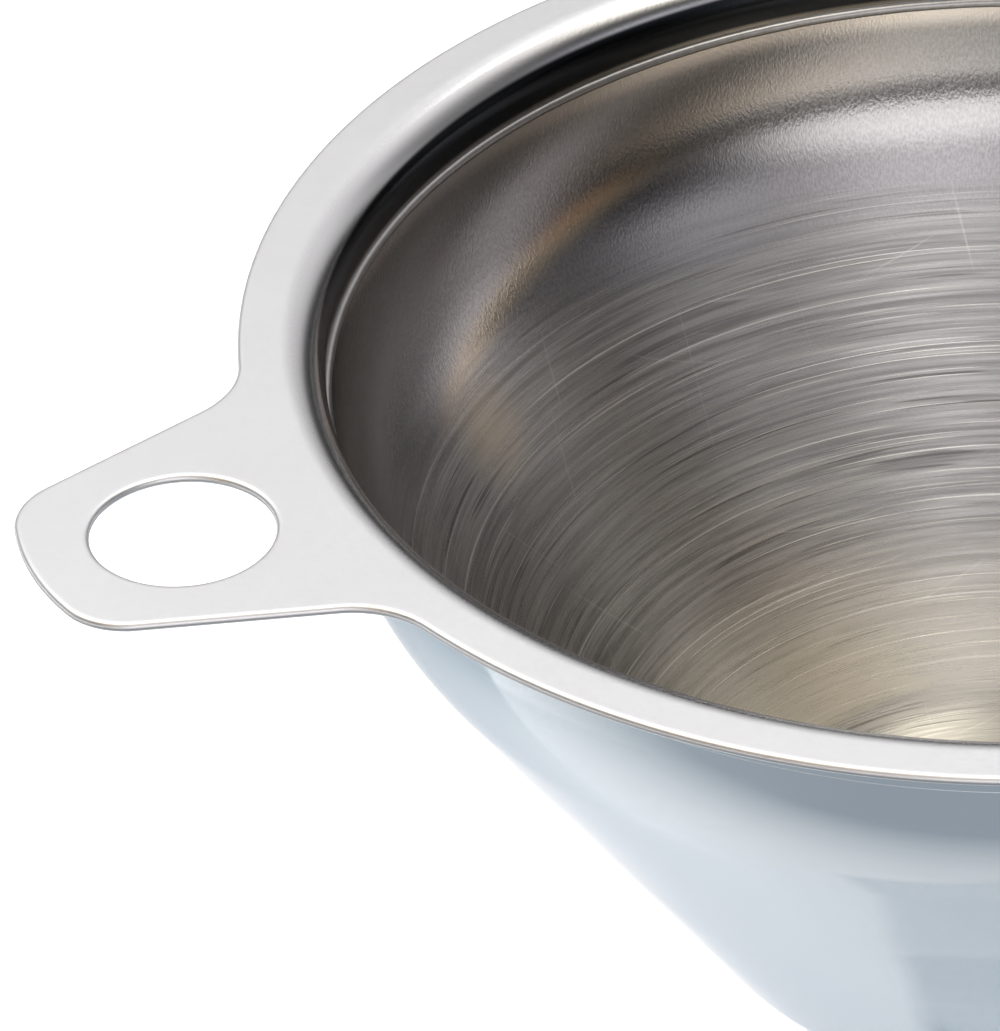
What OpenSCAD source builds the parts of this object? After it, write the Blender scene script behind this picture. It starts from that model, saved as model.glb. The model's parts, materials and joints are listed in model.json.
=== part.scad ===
// Canning funnel in welded stainless sheet: a flat brim with a hanging tab, a round-shouldered
// conical bowl that sits on a jar's mouth, and a straight spout that drops into the jar.
// Millimetres. Origin at the centre of the spout's lower end, +Z up, tab towards -X.

/* [Sheet] */
// Thickness of the steel sheet
sheet = 0.9; // [0.6:0.1:1.2]

/* [Brim] */
// Outer radius of the flat brim
brim_r = 72; // [70:0.5:78]
// Outer radius of the collar under the brim
wall_r = 65; // [63:0.5:66]
// Radius of the upper surface where the brim bends down into the collar
bend_r = 4; // [2.5:0.5:4.5]
// Height of the collar's straight part
collar_h = 1.7; // [1:0.1:6]

/* [Hanging tab] */
// Distance from the funnel's axis to the centre of the hole
hole_x = 82.2; // [81:0.1:84]
// Radius of the hole
hole_r = 8.3; // [6:0.1:9]
// Half the tab's width beside the hole
tab_half_w = 14.4; // [12:0.1:16]
// Angle of the tab's sides, in degrees from the tab's centre line
tab_taper = 17.4; // [10:0.1:20]
// Distance from the funnel's axis to the end of the tab
tab_tip = 96.4; // [95:0.1:99]
// Radius of the shallow curve across the end of the tab
tab_end_r = 28; // [24:1:36]
// Radius of the tab's two outer corners
tab_corner_r = 7; // [5:0.5:8]
// Radius of the fillets where the tab leaves the brim
tab_root_r = 9; // [6:0.5:10]

/* [Bowl] */
// Radius of the rounding from the collar into the cone, on the outside
bowl_arc_r = 29; // [20:1:32]
// Slope of the cone, in degrees from horizontal
cone_slope = 56.4; // [52:0.1:60]
// Outer radius where the cone ends in the shoulder that sits on a jar
shoulder_r = 31.8; // [31:0.1:34]
// Radius of the shoulder's rounding, on the outside
shoulder_corner_r = 13; // [10:0.5:14]

/* [Spout] */
// Outer radius of the spout's tube
tube_r = 21; // [19:0.1:22]
// Length of the tube's straight part
tube_len = 21.4; // [15:0.1:40]
// Radius of the rounding between the tube and the base, on the outside
fillet_r = 2; // [1:0.5:2.5]
// Slope of the base between the tube and the shoulder, in degrees from horizontal
base_slope = 28; // [24:1:32]

/* [Seams] */
// Width of the welded seams
seam_w = 1; // [0.6:0.1:1.2]
// Radius of the bead inside the brim seam
brim_bead_r = 0.9; // [0.7:0.1:1]
// Radius of the bead round the spout seam
spout_bead_r = 0.8; // [0.6:0.1:0.9]
// Width of the spout's sloping rim, from its rounding to the seam
spout_rim_w = 2.6; // [2:0.1:3.2]

/* [Hidden] */
$fn = 180;
arc_steps = 16; // stretches in each rounding of the profiles

// Outward normals of the cone and of the base, in the profile plane (radius, height)
cone_n = [sin(cone_slope), -cos(cone_slope)];
base_n = [sin(base_slope), -cos(base_slope)];
base_t = [cos(base_slope), sin(base_slope)];

// Centres of the profile's arcs, worked out upwards from the spout's lower end
fillet_c = [tube_r + fillet_r, tube_len];
shoulder_x = shoulder_r - shoulder_corner_r * cone_n.x;
base_run = (shoulder_x + (shoulder_corner_r + fillet_r) * base_n.x - fillet_c.x) / base_t.x;
shoulder_c = fillet_c + base_run * base_t - (shoulder_corner_r + fillet_r) * base_n;
bowl_c_x = wall_r - bowl_arc_r;
bowl_top = (shoulder_c * cone_n + shoulder_corner_r - bowl_arc_r - bowl_c_x * cone_n.x) / cone_n.y;
bowl_c = [bowl_c_x, bowl_top];

// Heights above the bowl
collar_z = bowl_top + seam_w;
bend_z = collar_z + collar_h;
brim_top = bend_z + bend_r;
brim_z = brim_top - sheet;
bend_c = [wall_r - sheet + bend_r, bend_z];

// Centres and angles of the arcs in the tab's outline; y is half the width
side_n = [sin(tab_taper), cos(tab_taper)];
side_t = [cos(tab_taper), -sin(tab_taper)];
side_d = side_n * [hole_x, tab_half_w];
root_c = side_n * (side_d + tab_root_r)
    + side_t * sqrt(pow(brim_r + tab_root_r, 2) - pow(side_d + tab_root_r, 2));
root_angle = atan2(root_c.y, root_c.x);
end_c = [tab_tip - tab_end_r, 0];
corner_d = side_d - tab_corner_r - side_n * end_c;
corner_c = end_c + side_n * corner_d
    + side_t * sqrt(pow(tab_end_r - tab_corner_r, 2) - pow(corner_d, 2));
corner_angle = atan2(corner_c.y, corner_c.x - end_c.x);
lap = 1; // how far the tab's outline starts inside the brim's edge

// Places along the base, measured from the spout's rounding
seam_start = spout_rim_w;
seam_end = spout_rim_w + seam_w;

function flip(p) = [p.x, -p.y];

function reversed(points) = [for (i = [len(points) - 1:-1:0]) points[i]];
function tail(points) = [for (i = [1:len(points) - 1]) points[i]];

function arc(centre, radius, from, to) = [
    for (i = [0:arc_steps])
        let (a = from + (to - from) * i / arc_steps) centre + radius * [cos(a), sin(a)]
];

// A point under the base, at a distance along it from the spout's rounding.
function under_base(run) = fillet_c + run * base_t - fillet_r * base_n;

// Profile lines of the three turned pieces. "depth" is how far a line lies inside the sheet,
// measured from the upper face on the brim and from the outer face on the bowl and the spout.
function collar_line(depth) = concat(
    arc(bend_c, bend_r - depth, 90, 180), [[bend_c.x - bend_r + depth, collar_z]]
);
function bowl_line(depth) = concat(
    arc(bowl_c, bowl_arc_r - depth, 0, cone_slope - 90),
    arc(shoulder_c, shoulder_corner_r - depth, cone_slope - 90, base_slope - 90),
    [under_base(seam_end) - depth * base_n]
);
function spout_line(depth) = concat(
    [under_base(seam_start) - depth * base_n],
    arc(fillet_c, fillet_r + depth, base_slope + 90, 180), [[tube_r - depth, 0]]
);

// Half the tab's outline, pointing along +X: root fillet, straight side, corner and rounded end.
function tab_half() = concat(
    [(brim_r - lap) * [cos(root_angle), sin(root_angle)]],
    tail(arc(root_c, tab_root_r, root_angle + 180, 270 - tab_taper)),
    arc(corner_c, tab_corner_r, 90 - tab_taper, corner_angle),
    tail(arc(end_c, tab_end_r, corner_angle, 0))
);

// Flat brim and tab in one sheet, bent down at the inner edge into a short collar.
module brim_ring() {
    color("gainsboro") {
        translate([0, 0, brim_z]) linear_extrude(sheet) difference() {
            union() {
                circle(brim_r);
                mirror([1, 0]) polygon(concat(
                    tab_half(), tail([for (p = reversed(tab_half())) flip(p)])
                ));
            }
            circle(bend_c.x);
            translate([-hole_x, 0]) circle(hole_r);
        }
        rotate_extrude() polygon(concat(collar_line(0), reversed(collar_line(sheet))));
    }
}

// Seam between the collar and the bowl: ground flush outside, a fine bead inside.
module brim_weld() {
    color("white") rotate_extrude() intersection() {
        translate([wall_r - sheet / 2, bowl_top + seam_w / 2]) circle(brim_bead_r);
        translate([0, bowl_top]) square([wall_r, seam_w]);
    }
}

// Rounded cone with the shoulder that sits on the jar, open at the base for the spout.
module bowl() {
    color("silver") rotate_extrude() polygon(concat(bowl_line(0), reversed(bowl_line(sheet))));
}

// Seam between the bowl's base and the spout, with a bead on both faces.
module spout_weld() {
    start = under_base(seam_start);
    middle = under_base((seam_start + seam_end) / 2) - sheet / 2 * base_n;
    color("white") rotate_extrude() intersection() {
        translate(middle) circle(spout_bead_r);
        translate(start) rotate(base_slope) translate([0, -sheet]) square([seam_w, 3 * sheet]);
    }
}

// Drawn spout: a sloping rim, a rounding and a straight tube.
module spout() {
    color("silver") rotate_extrude() polygon(concat(spout_line(0), reversed(spout_line(sheet))));
}

brim_ring();
brim_weld();
bowl();
spout_weld();
spout();
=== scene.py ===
"""Looks of the canning funnel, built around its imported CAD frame.

Metres, in the CAD's own frame: origin at the centre of the spout's lower end, +Z up, hanging tab
towards -X. The CAD gives every place and size that a box or a mount can tell. The few shape
values below are the ones that it can't.
"""
import json
import math

import bmesh
import bpy
from mathutils import Matrix, Vector, noise


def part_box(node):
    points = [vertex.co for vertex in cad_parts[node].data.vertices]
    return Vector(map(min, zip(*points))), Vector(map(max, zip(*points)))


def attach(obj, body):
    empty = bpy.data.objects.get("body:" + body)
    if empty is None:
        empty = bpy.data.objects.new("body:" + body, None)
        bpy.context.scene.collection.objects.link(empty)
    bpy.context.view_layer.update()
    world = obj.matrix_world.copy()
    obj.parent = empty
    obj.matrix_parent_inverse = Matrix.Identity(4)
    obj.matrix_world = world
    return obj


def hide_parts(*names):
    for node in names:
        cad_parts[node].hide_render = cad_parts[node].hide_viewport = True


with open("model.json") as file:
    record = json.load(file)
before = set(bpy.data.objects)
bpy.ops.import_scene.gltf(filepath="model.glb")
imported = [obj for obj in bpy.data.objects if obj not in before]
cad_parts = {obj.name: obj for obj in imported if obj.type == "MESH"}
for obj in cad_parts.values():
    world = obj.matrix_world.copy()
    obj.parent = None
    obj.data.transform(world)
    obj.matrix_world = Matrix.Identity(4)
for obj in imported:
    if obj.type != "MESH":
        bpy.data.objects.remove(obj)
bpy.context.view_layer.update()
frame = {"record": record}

MM = 0.001
MOUNTS = {mount["name"]: mount for mount in frame["record"]["mounts"]}

# Sizes from the frame
BRIM_LOW, BRIM_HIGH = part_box("brim_ring")
BOWL_LOW, BOWL_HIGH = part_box("bowl")
SEAM_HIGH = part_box("brim_weld")[1]
SHEET = MOUNTS["hang_hole"]["dims"]["length_mm"] * MM
HOLE_R = MOUNTS["hang_hole"]["dims"]["r_mm"] * MM
HOLE_X = -MOUNTS["hang_hole"]["pos_m"][0]
TUBE_R = MOUNTS["spout_outside"]["dims"]["r_mm"] * MM
TUBE_LEN = MOUNTS["spout_outside"]["dims"]["length_mm"] * MM
BRIM_R = BRIM_HIGH[0]
BRIM_TOP = BRIM_HIGH[2]
COLLAR_LOW = BRIM_LOW[2]
TAB_TIP = -BRIM_LOW[0]
WALL_R = round(SEAM_HIGH[0], 5)
BOWL_TOP = BOWL_HIGH[2]

# Shape values that no box or mount tells, as in the design
BEND_R = 4.0 * MM
BOWL_ARC_R = 29.0 * MM
CONE_SLOPE = math.radians(56.4)
SHOULDER_R = 31.8 * MM
SHOULDER_CORNER_R = 13.0 * MM
BASE_SLOPE = math.radians(28.0)
FILLET_R = 2.0 * MM
SPOUT_RIM_W = 2.6 * MM
SEAM_W = 1.0 * MM
BEAD_OUT = 0.45 * MM
TAB_HALF_W = 14.4 * MM
TAB_TAPER = math.radians(17.4)
TAB_END_R = 28.0 * MM
TAB_CORNER_R = 7.0 * MM
TAB_ROOT_R = 9.0 * MM

# Fineness of the meshes
EDGE_R = 0.42 * MM
SEAM_EDGE_R = 0.05 * MM
TURN_STEPS = 360
ARC_STEP = math.radians(3.0)
EDGE_STEP = math.radians(22.5)
FLAT_MARGIN = 0.25 * MM


# ---------------------------------------------------------------- outlines and profiles

def unit(x, y):
    length = math.hypot(x, y)
    return (x / length, y / length)


def arc(centre, radius, start, stop, step=ARC_STEP):
    """Points of an arc in a plane, both ends included."""
    count = max(2, math.ceil(abs(stop - start) / step))
    angles = [start + (stop - start) * i / count for i in range(count + 1)]
    return [(centre[0] + radius * math.cos(a), centre[1] + radius * math.sin(a)) for a in angles]


def rounded(corners):
    """A closed outline from (x, y, radius) corners, each one rounded by its radius."""
    points = []
    for i, (x, y, radius) in enumerate(corners):
        before = corners[i - 1]
        after = corners[(i + 1) % len(corners)]
        back = unit(before[0] - x, before[1] - y)
        on = unit(after[0] - x, after[1] - y)
        half = math.acos(max(-1.0, min(1.0, back[0] * on[0] + back[1] * on[1]))) / 2
        middle = unit(back[0] + on[0], back[1] + on[1])
        reach = radius / math.sin(half)
        centre = (x + middle[0] * reach, y + middle[1] * reach)
        trim = radius / math.tan(half)
        first = (x + back[0] * trim - centre[0], y + back[1] * trim - centre[1])
        last = (x + on[0] * trim - centre[0], y + on[1] * trim - centre[1])
        start = math.atan2(first[1], first[0])
        turn = math.atan2(last[1], last[0]) - start
        turn = (turn + math.pi) % (2 * math.pi) - math.pi
        step = EDGE_STEP if radius < 1.0 * MM else ARC_STEP
        points += arc(centre, radius, start, start + turn, step)
    return points


def offset(chain, depth):
    """An open chain of points moved sideways by depth, to the left of its direction."""
    normals = []
    for (x0, y0), (x1, y1) in zip(chain, chain[1:]):
        along = unit(x1 - x0, y1 - y0)
        normals.append((-along[1], along[0]))
    moved = []
    for i, (x, y) in enumerate(chain):
        a = normals[max(i - 1, 0)]
        b = normals[min(i, len(normals) - 1)]
        scale = depth / (1 + a[0] * b[0] + a[1] * b[1])
        moved.append((x + (a[0] + b[0]) * scale, y + (a[1] + b[1]) * scale))
    return moved


def sheet_profile(chain, radii, edge_radii):
    """Closed profile of a bent sheet, and how many of its points lie on the chain's own side.

    chain is one face of the sheet, and radii are the roundings of its inner points, positive
    where that face is the outer one of the bend. The sheet lies to the left of the chain.
    """
    other = offset(chain, SHEET)
    first, last = edge_radii
    face = [(*chain[0], first)]
    face += [(*p, abs(r)) for p, r in zip(chain[1:-1], radii)]
    face.append((*chain[-1], last))
    back = [(*other[-1], last)]
    back += [(*p, abs(r) - math.copysign(SHEET, r))
             for p, r in reversed(list(zip(other[1:-1], radii)))]
    back.append((*other[0], first))
    return rounded(face + back)


# The outer face of the bowl and spout as four straight lines: wall, cone, base and tube
turn_cone = math.pi / 2 - CONE_SLOPE
turn_base = CONE_SLOPE - BASE_SLOPE
wall_corner = (WALL_R, BOWL_TOP - BOWL_ARC_R * math.tan(turn_cone / 2))
shoulder_x = SHOULDER_R - SHOULDER_CORNER_R * math.tan(turn_base / 2) * math.cos(CONE_SLOPE)
shoulder_corner = (
    shoulder_x,
    wall_corner[1] - (WALL_R - shoulder_x) * math.tan(CONE_SLOPE),
)
tube_corner = (
    TUBE_R,
    shoulder_corner[1] - (shoulder_corner[0] - TUBE_R) * math.tan(BASE_SLOPE),
)
fillet_trim = FILLET_R * math.tan((math.pi / 2 - BASE_SLOPE) / 2)


def under_base(run):
    """A point on the base's lower face, at a distance from where the spout's rounding ends."""
    reach = fillet_trim + run
    return (tube_corner[0] + reach * math.cos(BASE_SLOPE),
            tube_corner[1] + reach * math.sin(BASE_SLOPE))


def bowl_profile():
    chain = [(WALL_R, BOWL_TOP), wall_corner, shoulder_corner, under_base(SPOUT_RIM_W + SEAM_W)]
    # A hair off the large rounding leaves room for the rounded edge above it
    radii = [BOWL_ARC_R - 4 * SEAM_EDGE_R, SHOULDER_CORNER_R]
    return mirrored_profile(chain, radii, (SEAM_EDGE_R, SEAM_EDGE_R))


def spout_profile():
    chain = [under_base(SPOUT_RIM_W), tube_corner, (TUBE_R, 0.0)]
    return mirrored_profile(chain, [-FILLET_R], (SEAM_EDGE_R, EDGE_R))


def mirrored_profile(chain, radii, edge_radii):
    """sheet_profile for a chain that has its sheet on the right."""
    flipped = [(-x, y) for x, y in chain]
    return [(-x, y) for x, y in sheet_profile(flipped, radii, edge_radii)]


def tab_half():
    """Half the tab's outline, pointing along +X, from the brim's edge to the tip."""
    side_n = (math.sin(TAB_TAPER), math.cos(TAB_TAPER))
    side_t = (math.cos(TAB_TAPER), -math.sin(TAB_TAPER))
    side_d = side_n[0] * HOLE_X + side_n[1] * TAB_HALF_W

    def point(out, along):
        return (side_n[0] * out + side_t[0] * along, side_n[1] * out + side_t[1] * along)

    root_out = side_d + TAB_ROOT_R
    root = point(root_out, math.sqrt((BRIM_R + TAB_ROOT_R) ** 2 - root_out ** 2))
    root_angle = math.atan2(root[1], root[0])
    end = (TAB_TIP - TAB_END_R, 0.0)
    inward = side_d - TAB_CORNER_R - side_n[0] * end[0]
    reach = point(inward, math.sqrt((TAB_END_R - TAB_CORNER_R) ** 2 - inward ** 2))
    corner = (end[0] + reach[0], reach[1])
    corner_angle = math.atan2(reach[1], reach[0])
    half = arc(root, TAB_ROOT_R, root_angle + math.pi, 1.5 * math.pi - TAB_TAPER)
    half += arc(corner, TAB_CORNER_R, math.pi / 2 - TAB_TAPER, corner_angle)
    half += arc(end, TAB_END_R, corner_angle, 0.0)[1:]
    return half, root_angle


def brim_outline():
    """Closed outline of the brim and its tab, with the tab towards -X."""
    half, root_angle = tab_half()
    round_part = arc((0, 0), BRIM_R, root_angle, 2 * math.pi - root_angle, math.radians(1.0))
    lower = [(x, -y) for x, y in half]
    outline = lower + half[-2::-1] + round_part[1:-1]
    return [(-x, y) for x, y in outline]


def outward_normals(outline):
    """Unit normals of a closed outline that runs clockwise, pointing out of it."""
    normals = []
    for i in range(len(outline)):
        before = outline[i - 1]
        after = outline[(i + 1) % len(outline)]
        along = unit(after[0] - before[0], after[1] - before[1])
        normals.append((-along[1], along[0]))
    return normals


# ---------------------------------------------------------------- meshes

def link(name, mesh_data):
    obj = bpy.data.objects.new(name, mesh_data)
    bpy.context.scene.collection.objects.link(obj)
    return obj


def finish_mesh(name, bm):
    bmesh.ops.recalc_face_normals(bm, faces=bm.faces)
    for face in bm.faces:
        face.smooth = True
    mesh_data = bpy.data.meshes.new(name)
    bm.to_mesh(mesh_data)
    bm.free()
    return link(name, mesh_data)


def bridge(bm, first, second, closed=True):
    """Quads between two rings of as many vertices."""
    faces = []
    count = len(first)
    for i in range(count if closed else count - 1):
        j = (i + 1) % count
        faces.append(bm.faces.new((first[i], first[j], second[j], second[i])))
    return faces


def circle_ring(bm, radius, height, count=TURN_STEPS):
    turns = [2 * math.pi * i / count for i in range(count)]
    return [bm.verts.new((radius * math.cos(a), radius * math.sin(a), height)) for a in turns]


def turned(name, profile, wobble=None, count=TURN_STEPS):
    """A closed profile of (radius, height) points turned about the Z axis."""
    bm = bmesh.new()
    rings = [circle_ring(bm, radius, height, count) for radius, height in profile]
    for ring, following in zip(rings, rings[1:] + rings[:1]):
        bridge(bm, ring, following)
    if wobble:
        for vertex in bm.verts:
            wobble(vertex)
    return finish_mesh(name, bm)


def edge_section(top, bottom):
    """(distance from the edge, height) along a sheet's rounded edge, from top to bottom."""
    quarter = arc((0, 0), EDGE_R, math.pi / 2, 0, EDGE_STEP)
    upper = [(EDGE_R - x, top - EDGE_R + y) for x, y in quarter]
    lower = [(depth, top + bottom - height) for depth, height in reversed(upper)]
    inside = EDGE_R + FLAT_MARGIN
    return [(inside, top)] + upper + lower + [(inside, bottom)]


def outline_rings(bm, outline, normals):
    """Rings of vertices round a sheet's cut edge; normals point away from the metal."""
    rings = []
    for depth, height in edge_section(BRIM_TOP, BRIM_TOP - SHEET):
        rings.append([
            bm.verts.new((x - nx * depth, y - ny * depth, height))
            for (x, y), (nx, ny) in zip(outline, normals)
        ])
    for ring, following in zip(rings, rings[1:]):
        bridge(bm, ring, following)
    return rings


def ring_edges(bm, ring):
    edges = []
    for i, vertex in enumerate(ring):
        following = ring[(i + 1) % len(ring)]
        edges.append(bm.edges.get((vertex, following)) or bm.edges.new((vertex, following)))
    return edges


def make_brim():
    """Brim, tab, bend and collar as one closed sheet."""
    bm = bmesh.new()
    outline = brim_outline()
    outer = outline_rings(bm, outline, outward_normals(outline))
    hole_turns = [2 * math.pi * i / 120 for i in range(120)]
    hole = [(-HOLE_X + HOLE_R * math.cos(a), HOLE_R * math.sin(a)) for a in hole_turns]
    hole_out = [(-math.cos(a), -math.sin(a)) for a in hole_turns]
    inner = outline_rings(bm, hole, hole_out)

    bend_x = WALL_R - SHEET + BEND_R
    bend_z = BRIM_TOP - BEND_R
    chain = [(bend_x + FLAT_MARGIN, BRIM_TOP)]
    chain += arc((bend_x, bend_z), BEND_R, math.pi / 2, math.pi)
    foot = rounded([
        (WALL_R - SHEET, bend_z, 0.0), (WALL_R - SHEET, COLLAR_LOW, SEAM_EDGE_R),
        (WALL_R, COLLAR_LOW, SEAM_EDGE_R), (WALL_R, bend_z, 0.0),
    ])
    chain += [p for p in foot if p[1] < bend_z - SEAM_EDGE_R]
    chain += arc((bend_x, bend_z), BEND_R - SHEET, math.pi, math.pi / 2)
    chain.append((bend_x + FLAT_MARGIN, BRIM_TOP - SHEET))
    throat = [circle_ring(bm, radius, height) for radius, height in chain]
    for ring, following in zip(throat, throat[1:]):
        bridge(bm, ring, following)

    for index in (0, -1):
        edges = ring_edges(bm, outer[index]) + ring_edges(bm, inner[index])
        edges += ring_edges(bm, throat[index])
        bmesh.ops.triangle_fill(bm, use_beauty=True, edges=edges)
    return finish_mesh("brim", bm)


def ripple(amount, lumps):
    """Small uneven heights along a weld bead's inner face."""
    def move(vertex):
        if math.hypot(vertex.co.x, vertex.co.y) > WALL_R - SHEET / 2:
            return
        angle = math.atan2(vertex.co.y, vertex.co.x)
        place = Vector((math.cos(angle), math.sin(angle), 0.0)) * lumps
        push = noise.noise(place + Vector((0.0, 0.0, vertex.co.z / (0.8 * MM)))) * amount
        vertex.co.x -= math.cos(angle) * push
        vertex.co.y -= math.sin(angle) * push
    return move


def make_brim_seam():
    """Bead between the collar and the bowl: flush outside, proud inside."""
    low = BOWL_TOP
    high = COLLAR_LOW
    inside = WALL_R - SHEET
    crown = BEAD_OUT
    half = (high - low) / 2
    bead_r = (half ** 2 + crown ** 2) / (2 * crown)
    spread = math.asin(min(1.0, half / bead_r))
    centre = (inside - crown + bead_r, (low + high) / 2)
    profile = arc(centre, bead_r, math.pi - spread, math.pi + spread, math.radians(12))
    profile += [(WALL_R, low), (WALL_R, low + SEAM_EDGE_R), (WALL_R, high - SEAM_EDGE_R),
                (WALL_R, high)]
    return turned("brim_seam", profile, ripple(0.03 * MM, 40.0), 720)


def make_spout_seam():
    """Bead between the base and the spout, proud of both faces."""
    start = under_base(SPOUT_RIM_W)
    stop = under_base(SPOUT_RIM_W + SEAM_W)
    up = (-math.sin(BASE_SLOPE), math.cos(BASE_SLOPE))
    middle = ((start[0] + stop[0]) / 2 + up[0] * SHEET / 2,
              (start[1] + stop[1]) / 2 + up[1] * SHEET / 2)
    bead_r = 0.8 * MM
    step = math.radians(12)
    reach = math.asin(SEAM_W / 2 / bead_r)
    tilt = BASE_SLOPE + math.pi / 2
    profile = arc(middle, bead_r, tilt - reach, tilt + reach, step)
    tilt += math.pi
    profile += arc(middle, bead_r, tilt - reach, tilt + reach, step)
    return turned("spout_seam", profile, None, TURN_STEPS)


# ---------------------------------------------------------------- materials

def join(tree, source, socket):
    """Feeds a socket from another node's socket, or sets it to a plain value."""
    if hasattr(source, "links"):
        tree.links.new(source, socket)
    else:
        socket.default_value = source


def maths_node(tree, operation, a, b=None):
    """The result of a Math node on one or two sockets or numbers."""
    node = tree.nodes.new("ShaderNodeMath")
    node.operation = operation
    join(tree, a, node.inputs[0])
    if b is not None:
        join(tree, b, node.inputs[1])
    return node.outputs[0]


class Nodes:
    """A material's node tree, with short calls for the nodes that the metals share."""

    def __init__(self, name, **surface):
        self.material = bpy.data.materials.new(name)
        self.material.use_nodes = True
        self.tree = self.material.node_tree
        self.shader = self.tree.nodes["Principled BSDF"]
        self.shader.inputs["Metallic"].default_value = 1.0
        for socket, value in surface.items():
            self.shader.inputs[socket.replace("_", " ")].default_value = value
        coords = self.tree.nodes.new("ShaderNodeTexCoord").outputs["Object"]
        self.place = coords
        split = self.tree.nodes.new("ShaderNodeSeparateXYZ")
        self.join(coords, split.inputs[0])
        self.x, self.y, self.z = split.outputs
        self.radius = self.maths("SQRT", self.maths(
            "ADD", self.maths("MULTIPLY", self.x, self.x), self.maths("MULTIPLY", self.y, self.y)))

    def join(self, source, socket):
        join(self.tree, source, socket)

    def maths(self, operation, a, b=None):
        return maths_node(self.tree, operation, a, b)

    def ramp(self, value, low, high, start=0.0, stop=1.0, smooth=True):
        """Maps value from low..high to start..stop, clamped."""
        node = self.tree.nodes.new("ShaderNodeMapRange")
        node.interpolation_type = "SMOOTHSTEP" if smooth else "LINEAR"
        for socket, entry in zip(node.inputs, (value, low, high, start, stop)):
            self.join(entry, socket)
        return node.outputs[0]

    def vector(self, x, y, z):
        node = self.tree.nodes.new("ShaderNodeCombineXYZ")
        for socket, entry in zip(node.inputs, (x, y, z)):
            self.join(entry, socket)
        return node.outputs[0]

    def mapped(self, scale, turn=(0, 0, 0)):
        node = self.tree.nodes.new("ShaderNodeMapping")
        self.join(self.place, node.inputs["Vector"])
        node.inputs["Scale"].default_value = scale
        node.inputs["Rotation"].default_value = [math.radians(a) for a in turn]
        return node.outputs[0]

    def noise(self, vector, scale=1.0, detail=2.0, roughness=0.5):
        node = self.tree.nodes.new("ShaderNodeTexNoise")
        self.join(vector, node.inputs["Vector"])
        node.inputs["Scale"].default_value = scale
        node.inputs["Detail"].default_value = detail
        node.inputs["Roughness"].default_value = roughness
        return node.outputs["Fac"]

    def hoops(self, fineness, length, seed=0.0, detail=2.0):
        """Noise drawn out round the axis: fineness lines a metre, length as a share of a turn."""
        around = 1.0 / length
        cos_a = self.maths("DIVIDE", self.x, self.radius)
        sin_a = self.maths("DIVIDE", self.y, self.radius)
        down = self.maths("ADD", self.z, self.maths("MULTIPLY", self.radius, 0.6))
        vector = self.vector(
            self.maths("MULTIPLY", cos_a, around), self.maths("MULTIPLY", sin_a, around),
            self.maths("ADD", self.maths("MULTIPLY", down, fineness), seed))
        return self.noise(vector, 1.0, detail, 0.6)

    def pebbles(self, around, down):
        """Small grains, a little longer down the wall than round it: both as grains a metre."""
        angle = self.maths("ARCTAN2", self.y, self.x)
        vector = self.vector(
            self.maths("MULTIPLY", angle, WALL_R * around), self.maths("MULTIPLY", self.z, down),
            self.maths("MULTIPLY", self.radius, down))
        return self.noise(vector, 1.0, 2.0, 0.6)

    def near(self, point, reach):
        """1 at a point, fading to 0 at a distance from it."""
        node = self.tree.nodes.new("ShaderNodeVectorMath")
        node.operation = "DISTANCE"
        self.join(self.place, node.inputs[0])
        node.inputs[1].default_value = point
        return self.ramp(node.outputs["Value"], reach, 0.0)

    def colour(self, share, first, second):
        node = self.tree.nodes.new("ShaderNodeMix")
        node.data_type = "RGBA"
        self.join(share, node.inputs[0])
        self.join(first, node.inputs[6])
        self.join(second, node.inputs[7])
        return node.outputs[2]

    def bump(self, height, distance, before=None, strength=1.0):
        node = self.tree.nodes.new("ShaderNodeBump")
        node.inputs["Strength"].default_value = strength
        node.inputs["Distance"].default_value = distance
        self.join(height, node.inputs["Height"])
        if before is not None:
            self.join(before, node.inputs["Normal"])
        return node.outputs[0]

    def tangent(self):
        node = self.tree.nodes.new("ShaderNodeTangent")
        node.direction_type = "RADIAL"
        node.axis = "Z"
        self.join(node.outputs[0], self.shader.inputs["Tangent"])

    def surface(self, socket, source):
        self.join(source, self.shader.inputs[socket])


def grey(value, warmth=0.0):
    """A linear grey, a little warmer or, when negative, cooler."""
    return (value * (1 + warmth), value, value * (1 - warmth), 1.0)


# Where the bend turns dark on its way down into the collar
DARK_START = BRIM_TOP - 0.40 * BEND_R
DARK_FULL = BRIM_TOP - 0.50 * BEND_R


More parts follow.
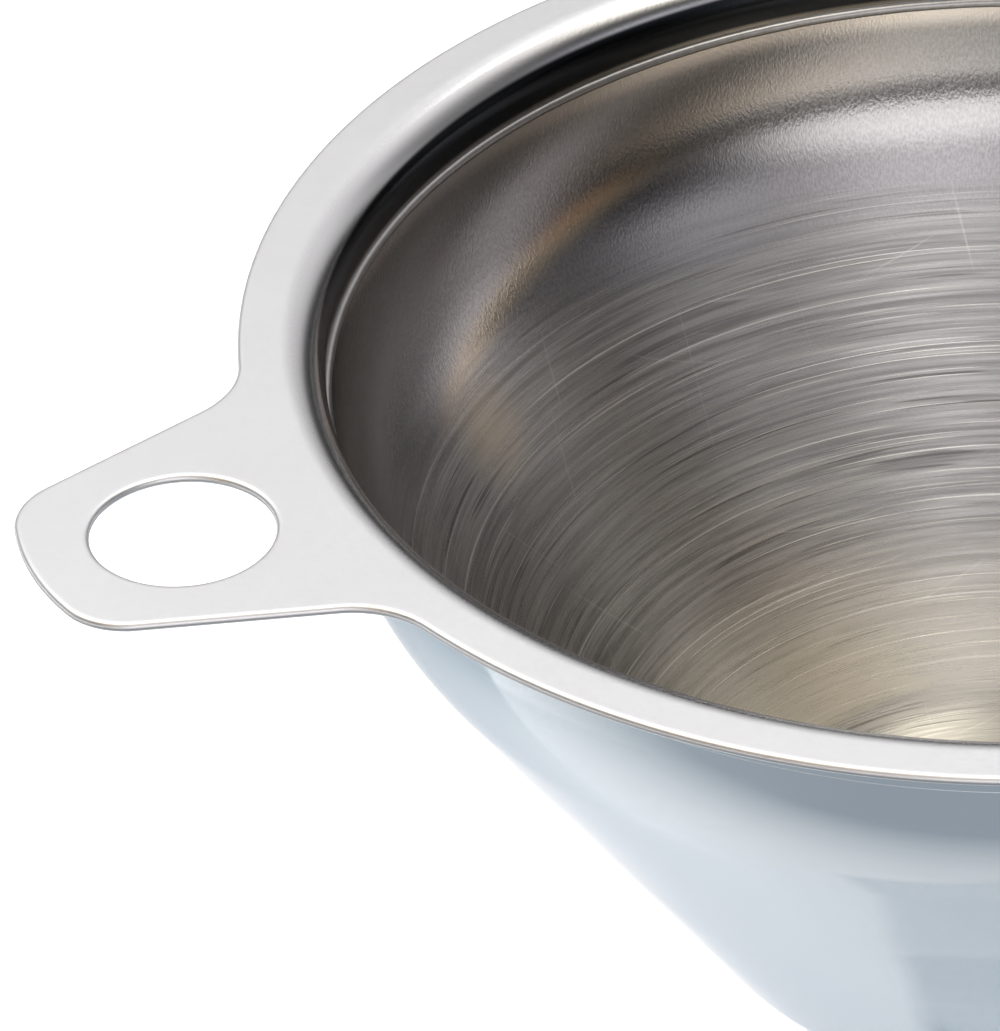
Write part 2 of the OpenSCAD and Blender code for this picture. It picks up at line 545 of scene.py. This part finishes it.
def brim_steel():
    """Fine satin on the flat brim, smoother on the bend, and dark on the collar below it.

    The dark is the same all the way round. It is a painted stand-in for a reflection.
    """
    m = Nodes("brim_satin")
    clouds = m.noise(m.mapped((60, 60, 60)), 1.0, 3.0)
    grain = m.noise(m.mapped((2600, 2600, 2600)), 1.0, 2.0)
    light = m.colour(clouds, grey(0.80, 0.006), grey(0.87, -0.002))
    collar = m.ramp(m.z, DARK_START, DARK_FULL)
    # Painted shade: the sheet's cut edges out past the bend are painted darker below their top
    # rounding.
    edge = m.ramp(m.z, BRIM_TOP - 0.22 * MM, BRIM_TOP - 0.5 * MM)
    edge = m.maths("MULTIPLY", edge, m.ramp(m.radius, WALL_R + BEND_R, BRIM_R - SHEET))
    light = m.colour(edge, light, (0.50, 0.485, 0.48, 1))
    foot = m.ramp(m.z, COLLAR_LOW + 0.75 * MM, COLLAR_LOW + 0.2 * MM)
    outer = m.ramp(m.radius, WALL_R - 0.6 * SHEET, WALL_R - 0.4 * SHEET)
    outer = m.maths("MULTIPLY", outer, m.ramp(m.z, BRIM_TOP - 0.95 * BEND_R, BRIM_TOP - BEND_R))
    shade = m.colour(outer, (0.035, 0.038, 0.042, 1), (0.66, 0.65, 0.64, 1))
    shade = m.colour(foot, shade, (0.42, 0.40, 0.385, 1))
    m.surface("Base Color", m.colour(collar, light, shade))
    satin_rough = m.ramp(grain, 0.2, 0.8, 0.34, 0.46, smooth=False)
    bend = m.ramp(m.radius, WALL_R - SHEET + BEND_R, WALL_R - SHEET + 0.5 * BEND_R)
    m.surface("Roughness", m.ramp(bend, 0.0, 1.0, satin_rough, 0.18, smooth=False))
    m.surface("Normal", m.bump(grain, 0.02 * MM, strength=0.35))
    return m.material


def outside_steel():
    """Bright polish, a little blue, with faint turning marks; the blue tint is a painted
    reflection.
    """
    m = Nodes("outside_polish", Anisotropic=0.35, Anisotropic_Rotation=0.25,
              Specular_Tint=(0.66, 0.69, 0.73, 1))
    m.tangent()
    marks = m.hoops(1400, 0.5, 3.0)
    clouds = m.noise(m.mapped((45, 45, 45)), 1.0, 2.0)
    m.surface("Base Color", m.colour(clouds, (0.70, 0.755, 0.795, 1), (0.74, 0.79, 0.825, 1)))
    m.surface("Roughness", m.ramp(marks, 0.3, 0.7, 0.07, 0.13, smooth=False))
    waves = m.bump(m.noise(m.mapped((26, 26, 90)), 1.0, 0.0), 0.16 * MM)
    m.surface("Normal", m.bump(marks, 0.006 * MM, waves, 0.3))
    return m.material


# A faint straw-coloured line low on the rounding, on one side of the bowl, painted as a stand-in
# for a warm reflection: where it starts and stops round the axis, its height at the start, and how
# much it comes down in a radian
STRAW_START = math.radians(101)
STRAW_STOP = math.radians(134)
STRAW_HEIGHT = BOWL_TOP - 10.1 * MM
STRAW_FALL = 12.5 * MM
STRAW_END = (-37 * MM, 41.3 * MM, BOWL_TOP - 21.6 * MM)


def inside_steel():
    """Circular brush marks on the cone, a fine pebble grain on the rounding above it."""
    m = Nodes("inside_brushed", Anisotropic=0.6, Anisotropic_Rotation=0.25)
    m.tangent()
    cone_top = BOWL_TOP - BOWL_ARC_R * math.sin(turn_cone)
    edge = m.maths("ADD", m.z, m.maths("MULTIPLY", m.hoops(900, 0.4, 51.0, 2.0), 7 * MM))
    on_cone = m.ramp(edge, cone_top + 4.5 * MM, cone_top - 1.5 * MM)
    off_cone = m.maths("SUBTRACT", 1.0, on_cone)

    fine = m.hoops(6500, 0.30, 0.0, 3.0)
    broad = m.hoops(1500, 0.45, 11.0, 3.0)
    wide = m.hoops(420, 0.8, 17.0, 2.0)
    bright = m.ramp(m.hoops(3200, 1.3, 23.0, 1.0), 0.67, 0.72)
    hair = m.ramp(m.hoops(5600, 0.45, 29.0, 1.0), 0.66, 0.74)
    dark = m.ramp(m.hoops(1900, 0.40, 37.0, 1.0), 0.64, 0.74)
    slant = m.ramp(m.noise(m.mapped((3200, 40, 40), (20, 35, 40)), 1.0, 0.0), 0.80, 0.84)
    cross = m.ramp(m.noise(m.mapped((40, 3400, 40), (-30, 10, 65)), 1.0, 0.0), 0.80, 0.84)
    stray = m.maths("MULTIPLY", m.maths("MAXIMUM", slant, cross), on_cone)
    pebble = m.pebbles(4200, 2300)
    clouds = m.noise(m.mapped((70, 70, 70)), 1.0, 3.0)

    base = m.colour(clouds, (0.375, 0.36, 0.355, 1), (0.46, 0.44, 0.425, 1))
    base = m.colour(m.ramp(pebble, 0.3, 0.7), base, (0.52, 0.505, 0.49, 1))
    # Painted highlight: a light, warm band just under the seam.
    painted_seam_highlight = m.ramp(m.z, BOWL_TOP - 2.4 * MM, BOWL_TOP - 0.4 * MM)
    base = m.colour(painted_seam_highlight, base, (0.88, 0.82, 0.78, 1))
    streaked = m.colour(m.ramp(broad, 0.3, 0.7), (0.33, 0.32, 0.31, 1), (0.61, 0.595, 0.57, 1))
    streaked = m.colour(m.maths("MULTIPLY", m.ramp(wide, 0.35, 0.75), 0.35), streaked,
                        (0.63, 0.61, 0.575, 1))
    streaked = m.colour(m.maths("MULTIPLY", dark, 0.7), streaked, (0.16, 0.155, 0.15, 1))
    streaked = m.colour(m.maths("MULTIPLY", hair, 0.75), streaked, (0.92, 0.90, 0.86, 1))
    streaked = m.colour(m.maths("MULTIPLY", bright, 0.85), streaked, (0.97, 0.95, 0.90, 1))
    # Painted highlight: the lower part of the cone is painted lighter and warmer, standing in for
    # overhead light.
    painted_cone_light = m.maths("MULTIPLY", m.ramp(m.z, cone_top - 26 * MM, cone_top - 41 * MM, 0.0, 0.85),
                   m.ramp(m.z, cone_top - 48 * MM, cone_top - 42 * MM))
    streaked = m.colour(m.maths("MULTIPLY", painted_cone_light, m.ramp(fine, 0.25, 0.6, 0.6, 1.0)), streaked,
                        (0.86, 0.82, 0.72, 1))
    # Painted shade: the foot of the cone is painted darker, to hold down a highlight there.
    painted_foot_shade = m.ramp(m.z, cone_top - 43.5 * MM, cone_top - 46.5 * MM, 0.0, 0.9)
    streaked = m.colour(painted_foot_shade, streaked, (0.36, 0.34, 0.29, 1))
    base = m.colour(on_cone, base, streaked)
    angle = m.maths("ARCTAN2", m.y, m.x)
    level = m.maths("ADD", m.z, m.maths("MULTIPLY", angle, STRAW_FALL))
    level = m.maths("SUBTRACT", level, STRAW_HEIGHT + STRAW_START * STRAW_FALL)
    straw = m.ramp(m.maths("ABSOLUTE", level), 2.0 * MM, 0.1 * MM)
    straw = m.maths("MULTIPLY", straw, m.ramp(angle, STRAW_START - 0.12, STRAW_START + 0.10))
    straw = m.maths("MULTIPLY", straw, m.ramp(angle, STRAW_STOP + 0.12, STRAW_STOP - 0.02))
    straw = m.maths("MULTIPLY", straw, m.ramp(angle, STRAW_START, STRAW_STOP, 1.0, 0.5))
    straw = m.maths("MAXIMUM", straw, m.maths("MULTIPLY", m.near(STRAW_END, 8 * MM), 0.6))
    base = m.colour(m.maths("MULTIPLY", straw, 0.75), base, (0.96, 0.80, 0.58, 1))
    base = m.colour(m.maths("MULTIPLY", stray, 0.3), base, (0.85, 0.84, 0.80, 1))
    m.surface("Base Color", base)

    rough_cone = m.ramp(fine, 0.3, 0.7, 0.22, 0.38, smooth=False)
    rough_arc = m.ramp(pebble, 0.3, 0.7, 0.09, 0.15, smooth=False)
    m.surface("Roughness", m.maths(
        "ADD", m.maths("MULTIPLY", rough_cone, on_cone), m.maths("MULTIPLY", rough_arc, off_cone)))

    grooves = m.maths("ADD", fine, m.maths("MULTIPLY", broad, 1.5))
    grooves = m.maths("ADD", grooves, m.maths("ADD", bright, m.maths("MULTIPLY", hair, 0.6)))
    grooves = m.maths("SUBTRACT", grooves, dark)
    grooves = m.maths("MULTIPLY", grooves, on_cone)
    normal = m.bump(grooves, 0.014 * MM, strength=0.7)
    m.surface("Normal", m.bump(m.maths("MULTIPLY", pebble, off_cone), 0.035 * MM, normal, 0.45))
    return m.material


def weld_steel():
    m = Nodes("weld_bead", Roughness=0.32)
    m.surface("Base Color", m.colour(m.hoops(400, 0.01, 5.0), grey(0.36, 0.04), grey(0.52, 0.03)))
    return m.material


# ---------------------------------------------------------------- the funnel

def use(obj, choose, *materials):
    """Gives an object its materials; choose says which one a face takes."""
    for material in materials:
        obj.data.materials.append(material)
    for polygon in obj.data.polygons:
        polygon.material_index = choose(polygon)


def faces_out(polygon):
    """1 for a face that looks away from the axis and down, 0 for one that looks in and up."""
    across = unit(*polygon.center[:2])
    normal = polygon.normal
    outward = normal.x * across[0] + normal.y * across[1]
    return 1 if 0.8 * outward - 0.6 * normal.z > 0.1 else 0


def first_only(_polygon):
    return 0


def brim_underside(polygon):
    """1 for the polished underside and outer face of the brim ring, 0 for its satin faces."""
    below = polygon.center.z < BRIM_TOP - SHEET
    return 1 if polygon.normal.z < -0.5 or (faces_out(polygon) and below) else 0


def seam_outside(polygon):
    return 1 if math.hypot(*polygon.center[:2]) > WALL_R - SHEET / 2 else 0


satin = brim_steel()
polish = outside_steel()
brushed = inside_steel()
bead = weld_steel()

brim = make_brim()
use(brim, brim_underside, satin, polish)
bowl = turned("bowl_shell", bowl_profile())
use(bowl, faces_out, brushed, polish)
spout = turned("spout_tube", spout_profile())
use(spout, faces_out, brushed, polish)
brim_seam = make_brim_seam()
use(brim_seam, seam_outside, bead, polish)
spout_seam = make_spout_seam()
use(spout_seam, first_only, bead)

for piece, node, slot in (
    (brim, "brim_ring", "brim_steel"),
    (brim_seam, "brim_weld", "weld_steel"),
    (bowl, "bowl", "bowl_steel"),
    (spout_seam, "spout_weld", "weld_steel"),
    (spout, "spout", "spout_steel"),
):
    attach(piece, "root")
    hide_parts(node)


# ---------------------------------------------------------------- camera

VIEW_AZIMUTH = math.radians(-26.2)
VIEW_ELEVATION = math.radians(33.36)
VIEW_DISTANCE = 8.935 * BRIM_R
AIM_PITCH = math.radians(35.10)
AIM_YAW = math.radians(4.26)
AIM_ROLL = math.radians(0.18)
LENS_MM = 244.4
SENSOR_MM = 36.0


def make_camera():
    data = bpy.data.cameras.new("camera")
    data.sensor_fit = "VERTICAL"
    data.sensor_height = SENSOR_MM
    data.lens = LENS_MM
    data.clip_end = 50.0
    camera = link("camera", data)
    place = Vector((0.0, -VIEW_DISTANCE * math.cos(VIEW_ELEVATION),
                    VIEW_DISTANCE * math.sin(VIEW_ELEVATION)))
    place = Matrix.Rotation(VIEW_AZIMUTH, 4, "Z") @ Matrix.Translation(place)
    aim = (Matrix.Rotation(math.pi / 2 - AIM_PITCH, 4, "X") @ Matrix.Rotation(AIM_YAW, 4, "Y")
           @ Matrix.Rotation(AIM_ROLL, 4, "Z"))
    camera.matrix_world = Matrix.Translation((0, 0, BRIM_TOP)) @ place @ aim
    bpy.context.scene.camera = camera


# ---------------------------------------------------------------- floor and light

FLOOR_GLOW = 0.6


def make_floor():
    """A plain pale floor that is lit from within, as on a light table."""
    bm = bmesh.new()
    bmesh.ops.create_circle(bm, cap_ends=True, segments=96, radius=6.0)
    floor = finish_mesh("floor", bm)
    floor.location.z = -0.0005
    material = bpy.data.materials.new("floor_white")
    material.use_nodes = True
    shader = material.node_tree.nodes["Principled BSDF"]
    shader.inputs["Base Color"].default_value = (0.9, 0.9, 0.9, 1)
    shader.inputs["Roughness"].default_value = 0.9
    shader.inputs["Specular IOR Level"].default_value = 0.1
    shader.inputs["Emission Color"].default_value = (1, 1, 1, 1)
    shader.inputs["Emission Strength"].default_value = FLOOR_GLOW
    floor.data.materials.append(material)


def make_backdrop():
    """A pale dome behind everything, which only the camera sees."""
    bm = bmesh.new()
    bmesh.ops.create_uvsphere(bm, u_segments=48, v_segments=24, radius=5.9)
    backdrop = finish_mesh("backdrop", bm)
    material = bpy.data.materials.new("backdrop_pale")
    material.use_nodes = True
    shader = material.node_tree.nodes["Principled BSDF"]
    shader.inputs["Base Color"].default_value = (0, 0, 0, 1)
    shader.inputs["Specular IOR Level"].default_value = 0.0
    shader.inputs["Emission Color"].default_value = (0.93, 0.94, 0.95, 1)
    shader.inputs["Emission Strength"].default_value = 1.0
    backdrop.data.materials.append(material)
    backdrop.visible_diffuse = False
    backdrop.visible_glossy = False
    backdrop.visible_transmission = False
    backdrop.visible_shadow = False


def floor_shade(name, right, front, half_width, half_depth, tone, soft=0.35, turn=0.0):
    """A soft grey patch just above the floor that only the polished steel mirrors.

    right and front say where its middle is, from the funnel's axis towards the camera's right
    and towards the camera.
    """
    bm = bmesh.new()
    bmesh.ops.create_grid(bm, x_segments=1, y_segments=1, size=1.0)
    patch = finish_mesh(name, bm)
    patch.matrix_world = (
        Matrix.Rotation(VIEW_AZIMUTH, 4, "Z") @ Matrix.Translation((right, -front, 0.0))
        @ Matrix.Rotation(math.radians(turn), 4, "Z")
        @ Matrix.Diagonal((half_width, half_depth, 1.0, 1.0)))
    material = bpy.data.materials.new(name + "_grey")
    material.use_nodes = True
    tree = material.node_tree
    tree.nodes.clear()

    def maths(operation, a, b=None):
        return maths_node(tree, operation, a, b)

    place = tree.nodes.new("ShaderNodeTexCoord").outputs["Object"]
    split = tree.nodes.new("ShaderNodeSeparateXYZ")
    tree.links.new(place, split.inputs[0])
    share = None
    for side in split.outputs[:2]:
        inwards = maths("SUBTRACT", 1.0, maths("ABSOLUTE", side))
        fade = tree.nodes.new("ShaderNodeMapRange")
        tree.links.new(inwards, fade.inputs["Value"])
        fade.inputs["From Min"].default_value = 0.0
        fade.inputs["From Max"].default_value = soft
        share = fade.outputs[0] if share is None else maths("MULTIPLY", share, fade.outputs[0])
    clear = tree.nodes.new("ShaderNodeBsdfTransparent")
    glow = tree.nodes.new("ShaderNodeEmission")
    glow.inputs["Color"].default_value = tone
    mixed = tree.nodes.new("ShaderNodeMixShader")
    output = tree.nodes.new("ShaderNodeOutputMaterial")
    tree.links.new(share, mixed.inputs[0])
    tree.links.new(clear.outputs[0], mixed.inputs[1])
    tree.links.new(glow.outputs[0], mixed.inputs[2])
    tree.links.new(mixed.outputs[0], output.inputs["Surface"])
    patch.data.materials.append(material)
    patch.visible_camera = False
    patch.visible_diffuse = False
    patch.visible_transmission = False
    patch.visible_shadow = False


def softbox(name, azimuth, elevation, distance, width, height, power):
    """An area light that faces the funnel, placed by the direction it is seen in.

    azimuth 0 is towards the camera's side, and it grows to the camera's right.
    """
    data = bpy.data.lights.new(name, "AREA")
    data.shape = "RECTANGLE"
    data.size = width
    data.size_y = height
    data.energy = power
    light = link(name, data)
    away = direction(azimuth, elevation)
    light.location = Vector((0, 0, BRIM_TOP)) + away * distance
    light.rotation_euler = away.to_track_quat("Z", "Y").to_euler()


def direction(azimuth, elevation):
    """Unit vector towards a part of the studio; azimuth 0 is the camera's side, and it grows to
    the camera's right."""
    turn = VIEW_AZIMUTH - math.pi / 2 + math.radians(azimuth)
    rise = math.radians(elevation)
    return Vector((math.cos(turn) * math.cos(rise), math.sin(turn) * math.cos(rise),
                   math.sin(rise)))


def make_world(glows):
    """A dark room with soft glows, each an ellipse that fades out from its middle.

    A glow is (azimuth, elevation, half width, half height, strength, tint, crispness), with its
    angles in degrees; 1 is a soft glow, and more gives it a flat middle and a crisper edge.
    """
    world = bpy.data.worlds.new("studio")
    world.use_nodes = True
    tree = world.node_tree

    def vector_maths(operation, a, b):
        node = tree.nodes.new("ShaderNodeVectorMath")
        node.operation = operation
        join(tree, a, node.inputs[0])
        join(tree, b, node.inputs[1])
        return node

    def maths(operation, a, b=None):
        return maths_node(tree, operation, a, b)

    looking = tree.nodes.new("ShaderNodeTexCoord").outputs["Generated"]
    total = (0.0, 0.0, 0.0)
    for azimuth, elevation, half_width, half_height, strength, tint, crispness in glows:
        middle = direction(azimuth, elevation)
        across = middle.cross((0.0, 0.0, 1.0)).normalized()
        up = across.cross(middle)
        across = across / math.sin(math.radians(half_width))
        up = up / math.sin(math.radians(half_height))
        u = vector_maths("DOT_PRODUCT", looking, across).outputs["Value"]
        v = vector_maths("DOT_PRODUCT", looking, up).outputs["Value"]
        facing = vector_maths("DOT_PRODUCT", looking, middle).outputs["Value"]
        spread = maths("ADD", maths("MULTIPLY", u, u), maths("MULTIPLY", v, v))
        spread = maths("POWER", spread, crispness)
        share = maths("EXPONENT", maths("MULTIPLY", spread, -1.0))
        share = maths("MULTIPLY", share, maths("GREATER_THAN", facing, 0.0))
        scaled = vector_maths("SCALE", tuple(strength * c for c in tint), (0, 0, 0))
        tree.links.new(share, scaled.inputs["Scale"])
        total = vector_maths("ADD", total, scaled.outputs["Vector"]).outputs["Vector"]
    background = tree.nodes["Background"]
    tree.links.new(total, background.inputs["Color"])
    bpy.context.scene.world = world


make_camera()
make_floor()
make_backdrop()
make_world([
    (180, 50, 60, 20, 0.46, (1, 0.98, 1.01), 1.0),
    (178, 27, 68, 11, 0.36, (1, 0.98, 1.0), 3.0),
    (140, 48, 22, 18, 0.44, (1, 0.98, 1.0), 1.0),
    (-120, 53, 27, 18, 2.0, (0.98, 1.0, 1.02), 1.0),
    (-75, 66, 22, 12, 1.8, (1, 0.80, 0.55), 1.0),
    (78, 70, 18, 11, 3.2, (1, 0.95, 0.86), 1.0),
    (14, 12, 30, 13, 1.62, (1, 0.99, 1.02), 2.0),
    (14, 34, 28, 12, 1.1, (1, 0.98, 1.05), 1.0),
    (64, 29, 16, 8, 0.4, (1, 1, 1.1), 1.0),
    (-30, 14, 14, 10, 0.6, (1, 0.6, 0.36), 1.0),
])
softbox("back_top_box", 180, 72, 1.4, 1.0, 1.0, 4.4)
softbox("front_top_box", 0, 75, 1.4, 1.0, 1.0, 1.0)
floor_shade("near_shade", 0.042, 0.055, 0.066, 0.038, (0.64, 0.695, 0.74, 1), 0.07, -31)
floor_shade("front_shade", -0.03, 0.245, 0.34, 0.22, (0.365, 0.40, 0.44, 1), 0.42)
floor_shade("left_shade", -0.24, 0.0, 0.18, 0.22, (0.68, 0.735, 0.78, 1), 0.45)
floor_shade("back_shade", 0.05, -0.25, 0.42, 0.22, (0.38, 0.39, 0.41, 1), 0.5)
floor_shade("right_shade", 0.30, -0.02, 0.22, 0.30, (0.50, 0.55, 0.595, 1), 0.5)


bpy.context.scene.view_settings.view_transform = "Standard"

bpy.context.view_layer.update()
